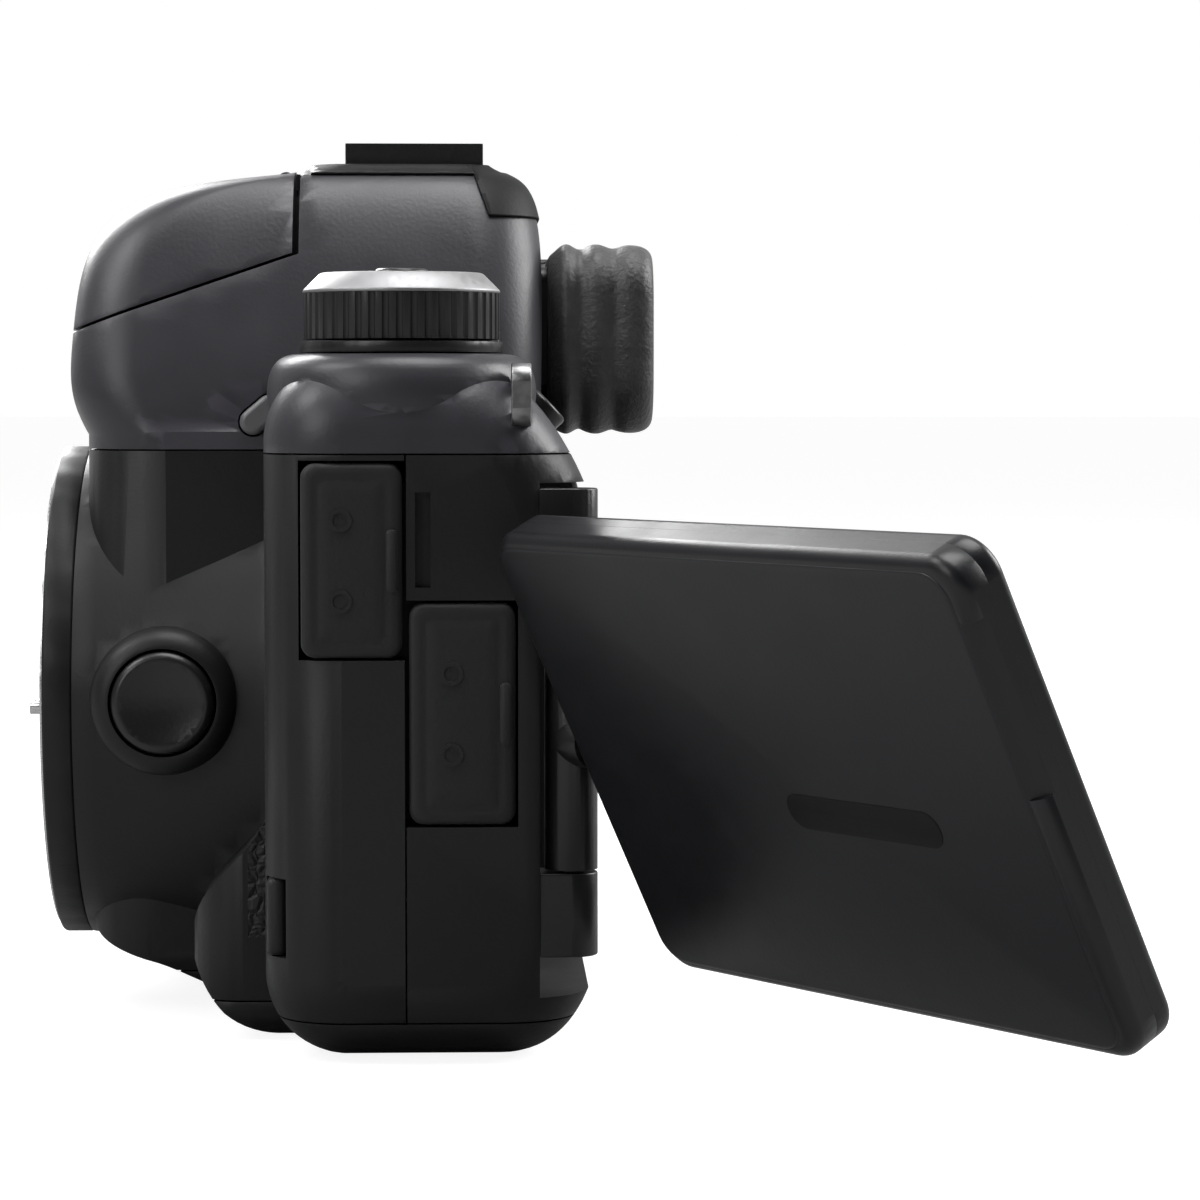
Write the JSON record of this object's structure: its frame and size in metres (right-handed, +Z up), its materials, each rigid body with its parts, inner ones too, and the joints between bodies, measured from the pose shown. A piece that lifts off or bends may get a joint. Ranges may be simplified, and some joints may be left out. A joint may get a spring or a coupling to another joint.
{
  "type": "dslr camera",
  "caption": "Single-lens reflex camera body with bare lens mount, pop-up flash, deep grip and a hinged screen swung out and tilted.",
  "frame": {"origin": "mouth of the tripod socket on the base, under the lens axis", "axes": "+Z up out of the top of the camera, -Y along the lens axis out of the mount, +X towards the camera's own left end, where the screen hinges"},
  "size_m": [0.2169, 0.1224, 0.1058],
  "materials": {
    "body_plastic": "fine satin texture, very dark grey",
    "top_plastic": "fine satin texture, dark grey with a faint purple tone",
    "grip_rubber": "pebbled black rubber",
    "cover_rubber": "smooth matt black rubber",
    "eyecup_rubber": "soft matt black rubber",
    "control_plastic": "satin black",
    "dial_metal": "dark anodised, knurled",
    "screen_plastic": "smooth satin, dark bluish grey",
    "screen_glass": "dark glossy panel",
    "mount_steel": "turned steel",
    "gold_contact": "plated",
    "lens_glass": "clear optical",
    "mirror_face": "front-silvered",
    "inner_black": "anti-reflection black",
    "inner_metal": "bead-blasted",
    "board": "circuit board",
    "shoe_steel": "satin",
    "screw_steel": "black oxide"
  },
  "bodies": {
    "casing": {"battery": "inner_black", "bottom_cover": "body_plastic", "chassis": "inner_metal", "eyecup": "eyecup_rubber", "eyepiece_frame": "control_plastic", "eyepiece_lens": "lens_glass", "front_cover": "body_plastic", "grip_rubbers": "grip_rubber", "hinge_bracket": "control_plastic", "hinge_pins": "shoe_steel", "hot_shoe": "shoe_steel", "image_sensor": "screen_glass", "lens_mount_ring": "mount_steel", "main_board": "board", "memory_card": "control_plastic", "mirror_box": "inner_black", "mount_collar": "body_plastic", "mount_contacts": "gold_contact", "pentaprism": "lens_glass", "rear_cover": "body_plastic", "screws": "screw_steel", "shutter_frame": "inner_black", "strap_lugs": "mount_steel", "terminal_block": "inner_black", "top_cover": "top_plastic", "top_lcd_window": "screen_glass", "tripod_socket": "mount_steel"},
    "hinge_arm": {"hinge_arm": "control_plastic"},
    "tilt_shaft": {"tilt_shaft": "shoe_steel"},
    "screen": {"screen_back_cover": "screen_plastic", "screen_bezel": "screen_plastic", "screen_glass": "screen_glass", "lcd_module": "inner_black"},
    "mode_dial": {"mode_dial": "dial_metal"},
    "mode_dial_lock": {"mode_dial_lock": "control_plastic"},
    "power_switch": {"power_switch": "control_plastic"},
    "shutter_button": {"shutter_button": "control_plastic"},
    "main_dial": {"main_dial": "control_plastic"},
    "quick_dial": {"quick_dial": "dial_metal"},
    "set_button": {"set_button": "control_plastic"},
    "flash": {"flash_head": "top_plastic", "flash_lens": "lens_glass"},
    "flash_button": {"flash_button": "control_plastic"},
    "lens_release_button": {"lens_release_button": "control_plastic"},
    "lens_lock_pin": {"lens_lock_pin": "mount_steel"},
    "diopter_knob": {"diopter_knob": "control_plastic"},
    "card_door": {"card_door": "body_plastic"},
    "battery_door": {"battery_door": "body_plastic"},
    "battery_latch": {"battery_latch": "control_plastic"},
    "terminal_cover_front": {"terminal_cover_front": "cover_rubber"},
    "terminal_cover_rear": {"terminal_cover_rear": "cover_rubber"},
    "main_mirror": {"main_mirror": "mirror_face"},
    "sub_mirror": {"sub_mirror": "mirror_face"},
    "first_curtain": {"first_curtain": "inner_black"},
    "second_curtain": {"second_curtain": "inner_black"},
    "button_iso": {"button_iso": "control_plastic"},
    "button_menu": {"button_menu": "control_plastic"},
    "button_ae_lock": {"button_ae_lock": "control_plastic"},
    "button_info": {"button_info": "control_plastic"},
    "button_playback": {"button_playback": "control_plastic"}
  },
  "joints": [
    {"name": "screen_swing", "type": "hinge", "parent": "casing", "child": "hinge_arm", "pos_m": [0.0582, 0.02506, 0.0362], "axis": [0, 0, 1], "range_deg": [-28.3, 146.7]},
    {"name": "screen_level", "type": "hinge", "parent": "hinge_arm", "child": "tilt_shaft", "pos_m": [0.0582, 0.02506, 0.0362], "axis": [0.8358, 0.549, 0], "range_deg": [-27, 5.3]},
    {"name": "screen_tilt", "type": "hinge", "parent": "tilt_shaft", "child": "screen", "pos_m": [0.0582, 0.02506, 0.0362], "axis": [0.8358, 0.549, 0], "range_deg": [-117, 180]},
    {"name": "mode_dial_turn", "type": "hinge", "parent": "casing", "child": "mode_dial", "pos_m": [0.046, 0.006, 0.084], "axis": [0, 0, 1], "continuous": true},
    {"name": "mode_dial_lock_press", "type": "slide", "parent": "mode_dial", "child": "mode_dial_lock", "axis": [0, 0, -1], "range_m": [0, 0.0008], "stiffness_N_per_m": 300, "springref_m": -0.001},
    {"name": "power_switch_turn", "type": "hinge", "parent": "casing", "child": "power_switch", "pos_m": [0.046, 0.006, 0.0802], "axis": [0, 0, -1], "range_deg": [0, 40]},
    {"name": "shutter_press", "type": "slide", "parent": "casing", "child": "shutter_button", "axis": [0, 0.3162, -0.9487], "range_m": [0, 0.0012], "stiffness_N_per_m": 300, "springref_m": -0.001},
    {"name": "main_dial_turn", "type": "hinge", "parent": "casing", "child": "main_dial", "pos_m": [-0.066, -0.009, 0.0719], "axis": [1, 0, 0], "continuous": true},
    {"name": "quick_dial_turn", "type": "hinge", "parent": "casing", "child": "quick_dial", "pos_m": [-0.053, 0.03, 0.036], "axis": [0, 1, 0], "continuous": true},
    {"name": "set_press", "type": "slide", "parent": "casing", "child": "set_button", "axis": [0, -1, 0], "range_m": [0, 0.0006], "stiffness_N_per_m": 300, "springref_m": -0.001},
    {"name": "flash_raise", "type": "hinge", "parent": "casing", "child": "flash", "pos_m": [0, -0.0089, 0.1013], "axis": [-1, 0, 0], "range_deg": [0, 62]},
    {"name": "flash_button_press", "type": "slide", "parent": "casing", "child": "flash_button", "axis": [-1, 0, 0], "range_m": [0, 0.0008], "stiffness_N_per_m": 300, "springref_m": -0.001},
    {"name": "lens_release_press", "type": "slide", "parent": "casing", "child": "lens_release_button", "axis": [-1, 0, 0], "range_m": [0, 0.002], "stiffness_N_per_m": 300, "springref_m": -0.001},
    {"name": "lens_lock_retract", "type": "slide", "parent": "casing", "child": "lens_lock_pin", "axis": [0, 1, 0], "range_m": [0, 0.0015]},
    {"name": "diopter_turn", "type": "hinge", "parent": "casing", "child": "diopter_knob", "pos_m": [-0.0196, 0.024, 0.09], "axis": [0, 1, 0], "range_deg": [-150, 150]},
    {"name": "card_door_open", "type": "hinge", "parent": "casing", "child": "card_door", "pos_m": [-0.083, 0.007, 0.042], "axis": [0, 0, 1], "range_deg": [0, 110]},
    {"name": "battery_door_open", "type": "hinge", "parent": "casing", "child": "battery_door", "pos_m": [-0.055, -0.0155, 0], "axis": [0, -1, 0], "range_deg": [0, 90]},
    {"name": "battery_latch_slide", "type": "slide", "parent": "battery_door", "child": "battery_latch", "axis": [1, 0, 0], "range_m": [0, 0.0018]},
    {"name": "terminal_front_open", "type": "hinge", "parent": "casing", "child": "terminal_cover_front", "pos_m": [0.0603, -0.005, 0.0564], "axis": [0, 0, -1], "range_deg": [0, 100]},
    {"name": "terminal_rear_open", "type": "hinge", "parent": "casing", "child": "terminal_cover_rear", "pos_m": [0.0615, 0.007, 0.03935], "axis": [0, 0, -1], "range_deg": [0, 100]},
    {"name": "mirror_lift", "type": "hinge", "parent": "casing", "child": "main_mirror", "pos_m": [0, 0.002, 0.0506], "axis": [-1, 0, 0], "range_deg": [0, 45]},
    {"name": "sub_mirror_fold", "type": "hinge", "parent": "main_mirror", "child": "sub_mirror", "pos_m": [0, -0.00719, 0.03858], "axis": [1, 0, 0], "range_deg": [0, 90]},
    {"name": "first_curtain_run", "type": "slide", "parent": "casing", "child": "first_curtain", "axis": [0, 0, -1], "range_m": [0, 0.0185]},
    {"name": "second_curtain_run", "type": "slide", "parent": "casing", "child": "second_curtain", "axis": [0, 0, -1], "range_m": [0, 0.0185]},
    {"name": "iso_press", "type": "slide", "parent": "casing", "child": "button_iso", "axis": [0, 0, -1], "range_m": [0, 0.0006], "stiffness_N_per_m": 300, "springref_m": -0.001},
    {"name": "menu_press", "type": "slide", "parent": "casing", "child": "button_menu", "axis": [0, -0.7314, -0.682], "range_m": [0, 0.0006], "stiffness_N_per_m": 300, "springref_m": -0.001},
    {"name": "ae_lock_press", "type": "slide", "parent": "casing", "child": "button_ae_lock", "axis": [0, -0.9421, -0.3355], "range_m": [0, 0.0006], "stiffness_N_per_m": 300, "springref_m": -0.001},
    {"name": "info_press", "type": "slide", "parent": "casing", "child": "button_info", "axis": [0, -1, 0], "range_m": [0, 0.0006], "stiffness_N_per_m": 300, "springref_m": -0.001},
    {"name": "playback_press", "type": "slide", "parent": "casing", "child": "button_playback", "axis": [0, -1, 0], "range_m": [0, 0.0006], "stiffness_N_per_m": 300, "springref_m": -0.001}
  ],
  "couplings": [
    {"joint": "screen_level", "follows": "screen_swing", "ratio": -0.18337},
    {"joint": "sub_mirror_fold", "follows": "mirror_lift", "ratio": 2},
    {"joint": "lens_lock_retract", "follows": "lens_release_press", "ratio": 0.75}
  ]
}
